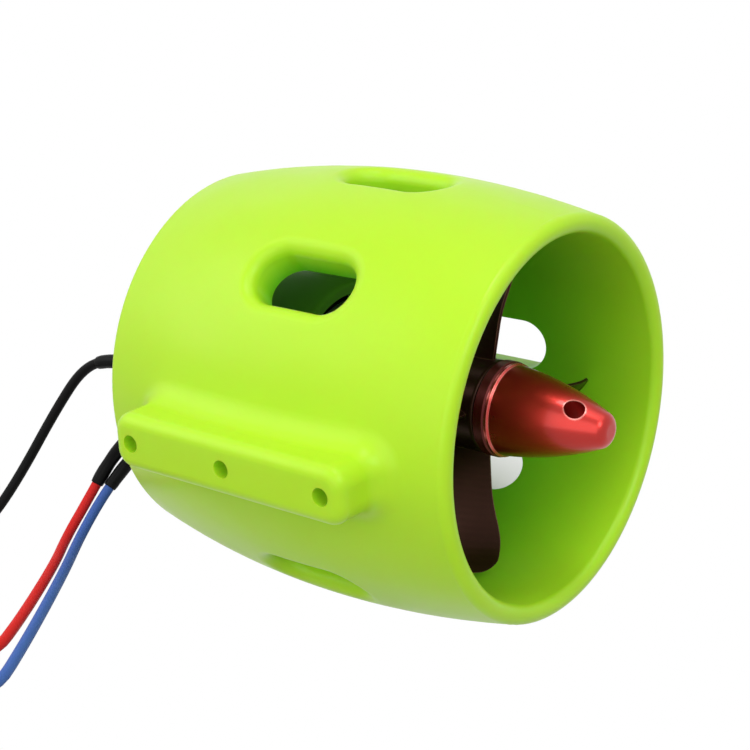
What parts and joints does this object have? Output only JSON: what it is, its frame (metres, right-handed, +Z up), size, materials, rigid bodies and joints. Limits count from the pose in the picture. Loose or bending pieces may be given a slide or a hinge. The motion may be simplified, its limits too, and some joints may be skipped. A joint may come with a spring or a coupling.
{
  "type": "underwater thruster",
  "caption": "Ducted underwater thruster: slotted barrel duct with a side mounting rib, motor pod on vanes, bladed propeller under a bullet nut, and three free leads.",
  "frame": {"origin": "middle screw hole of the mounting rib, on the rib's face", "axes": "+X along the thrust axis towards the outlet, +Z up, -Y out of the rib's face"},
  "size_m": [0.1739, 0.1617, 0.075],
  "materials": {
    "green_plastic": "satin moulded plastic",
    "potting_resin": "poured resin, glossy",
    "silver_aluminium": "fine turned",
    "stainless_steel": "machined",
    "lamination_steel": "stacked sheet with a thin resin coat",
    "enamelled_copper": "wound wire under clear resin",
    "coated_steel": "black coat",
    "nickelled_magnet": "nickel plate",
    "dark_anodised": "dark red-brown anodising, satin",
    "red_anodised": "red anodising, satin",
    "black_silicone": "soft matte silicone",
    "red_silicone": "soft matte silicone",
    "blue_silicone": "soft matte silicone",
    "heat_shrink": "shrunk polyolefin tube",
    "gilt_brass": "gold plate"
  },
  "bodies": {
    "housing": {"shroud": "green_plastic", "motor_pod": "green_plastic", "lead_potting": "potting_resin", "motor_base": "silver_aluminium", "motor_screws": "stainless_steel", "stator_core": "lamination_steel", "stator_windings": "enamelled_copper", "phase_tails": "enamelled_copper", "rear_bearing": "stainless_steel", "front_bearing": "stainless_steel", "black_lead_sleeve": "heat_shrink", "black_lead": "black_silicone", "black_lead_coil": "black_silicone", "black_plug": "gilt_brass", "black_plug_sleeve": "heat_shrink", "red_lead_sleeve": "heat_shrink", "red_lead": "red_silicone", "red_lead_coil": "red_silicone", "red_plug": "gilt_brass", "red_plug_sleeve": "heat_shrink", "blue_lead_sleeve": "heat_shrink", "blue_lead": "blue_silicone", "blue_lead_coil": "blue_silicone", "blue_plug": "gilt_brass", "blue_plug_sleeve": "heat_shrink"},
    "rotor": {"motor_shaft": "stainless_steel", "shaft_circlip": "stainless_steel", "thrust_spacer": "stainless_steel", "rotor_bell": "silver_aluminium", "flux_ring": "coated_steel", "rotor_magnets": "nickelled_magnet", "prop_adapter": "silver_aluminium", "adapter_screws": "stainless_steel", "propeller": "dark_anodised", "prop_washer": "red_anodised", "bullet_nut": "red_anodised"}
  },
  "joints": [
    {"name": "rotor_spin", "type": "hinge", "parent": "housing", "child": "rotor", "pos_m": [0, 0.0456, 0], "axis": [1, 0, 0], "continuous": true}
  ]
}
